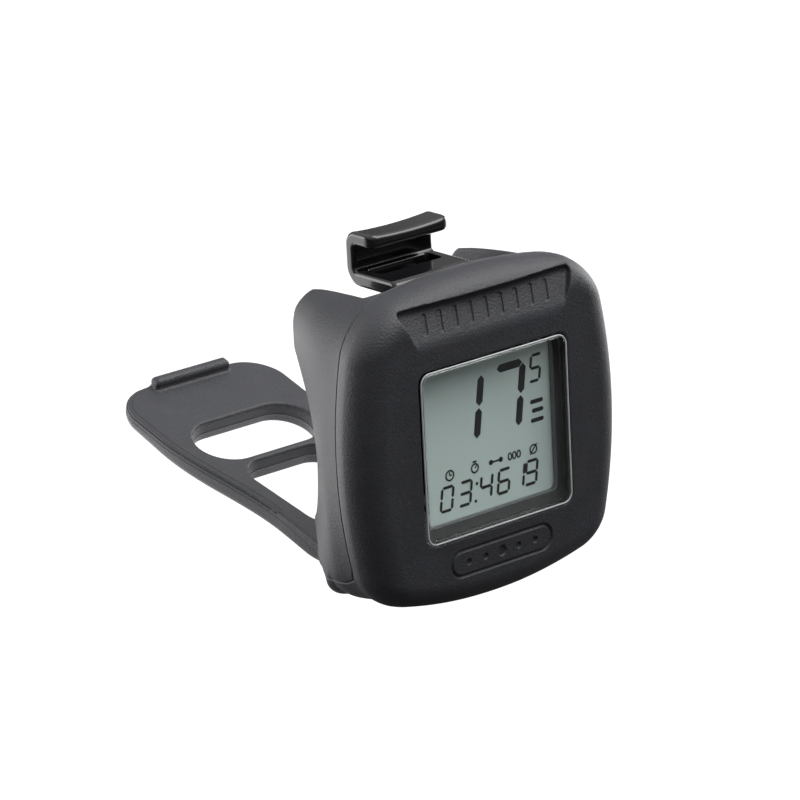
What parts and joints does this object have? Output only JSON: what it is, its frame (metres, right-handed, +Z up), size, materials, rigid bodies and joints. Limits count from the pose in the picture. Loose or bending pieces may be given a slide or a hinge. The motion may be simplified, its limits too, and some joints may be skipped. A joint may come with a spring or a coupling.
{
  "type": "cycling computer",
  "caption": "Bicycle computer with a square LCD in a grey silicone sleeve, a handlebar saddle behind it, a slotted strap and a gloss hook.",
  "frame": {"origin": "on the axis of the handlebar that the saddle sits on, midway across the head", "axes": "+X along the handlebar, to the right as seen from the display; +Y from the display towards the strap; +Z up along the face"},
  "size_m": [0.0472, 0.0718, 0.0506],
  "materials": {
    "silicone": "matte moulded silicone, fine speckle",
    "hook_gloss": "polished black nylon",
    "case_black": "fine spark-eroded black ABS",
    "seal_rubber": "soft matte rubber",
    "steel": "zinc-plated",
    "lens_clear": "clear polished acrylic",
    "tape_black": "black foam tape",
    "lcd_film": "grey-green polarising film",
    "lcd_glass": "clear glass with liquid crystal between the plates",
    "holder_white": "natural white ABS",
    "board_green": "glass-fibre board with green solder mask",
    "chip_black": "moulded epoxy",
    "coil_copper": "enamelled copper wire on ferrite",
    "button_grey": "moulded acetal",
    "cell_nickel": "satin nickel plate",
    "contact_brass": "tin-plated spring brass"
  },
  "bodies": {
    "head": {"silicone_sleeve": "silicone", "strap_hook": "hook_gloss", "hook_screws": "steel", "front_case": "case_black", "rear_case": "case_black", "case_gasket": "seal_rubber", "case_screws": "steel", "display_lens": "lens_clear", "lens_tape": "tape_black", "lcd_polariser": "lcd_film", "lcd_glass": "lcd_glass", "lcd_reflector": "lcd_film", "contact_strips": "seal_rubber", "lcd_holder": "holder_white", "main_board": "board_green", "processor": "chip_black", "sensor_coil": "coil_copper", "clock_crystal": "steel", "board_parts": "chip_black", "switch_body": "chip_black", "coin_cell": "cell_nickel", "cell_contact_minus": "contact_brass", "cell_contact_plus": "contact_brass"},
    "mode_button": {"mode_button": "button_grey"},
    "switch_stem": {"switch_stem": "holder_white"},
    "battery_door": {"battery_door": "case_black", "door_seal": "seal_rubber"},
    "strap_1": {"strap_link_1": "silicone"},
    "strap_2": {"strap_link_2": "silicone"},
    "strap_3": {"strap_link_3": "silicone"},
    "strap_4": {"strap_link_4": "silicone"},
    "strap_5": {"strap_link_5": "silicone"}
  },
  "joints": [
    {"name": "mode_press", "type": "slide", "parent": "head", "child": "mode_button", "axis": [0, 1, 0], "range_m": [0, 0.0005], "stiffness_N_per_m": 600},
    {"name": "switch_press", "type": "slide", "parent": "head", "child": "switch_stem", "axis": [0, 1, 0], "range_m": [0, 0.00025]},
    {"name": "door_turn", "type": "hinge", "parent": "head", "child": "battery_door", "pos_m": [0, -0.019, -0.0007], "axis": [0, 1, 0], "range_deg": [0, 90]},
    {"name": "strap_bend_1", "type": "hinge", "parent": "head", "child": "strap_1", "pos_m": [0, 0.00767, -0.01455], "axis": [1, 0, 0], "range_deg": [0, 20], "stiffness_Nm_per_rad": 0.02},
    {"name": "strap_bend_2", "type": "hinge", "parent": "strap_1", "child": "strap_2", "pos_m": [0, 0.01311, -0.01281], "axis": [1, 0, 0], "range_deg": [0, 20], "stiffness_Nm_per_rad": 0.02},
    {"name": "strap_bend_3", "type": "hinge", "parent": "strap_2", "child": "strap_3", "pos_m": [0, 0.01855, -0.01106], "axis": [1, 0, 0], "range_deg": [0, 20], "stiffness_Nm_per_rad": 0.02},
    {"name": "strap_bend_4", "type": "hinge", "parent": "strap_3", "child": "strap_4", "pos_m": [0, 0.02399, -0.00931], "axis": [1, 0, 0], "range_deg": [0, 20], "stiffness_Nm_per_rad": 0.02},
    {"name": "strap_bend_5", "type": "hinge", "parent": "strap_4", "child": "strap_5", "pos_m": [0, 0.02943, -0.00757], "axis": [1, 0, 0], "range_deg": [0, 10], "stiffness_Nm_per_rad": 0.02}
  ],
  "couplings": [
    {"joint": "switch_press", "follows": "mode_press", "ratio": 0.5},
    {"joint": "strap_bend_2", "follows": "strap_bend_1", "ratio": 1},
    {"joint": "strap_bend_3", "follows": "strap_bend_1", "ratio": 1},
    {"joint": "strap_bend_4", "follows": "strap_bend_1", "ratio": 1},
    {"joint": "strap_bend_5", "follows": "strap_bend_1", "ratio": 0.5}
  ]
}
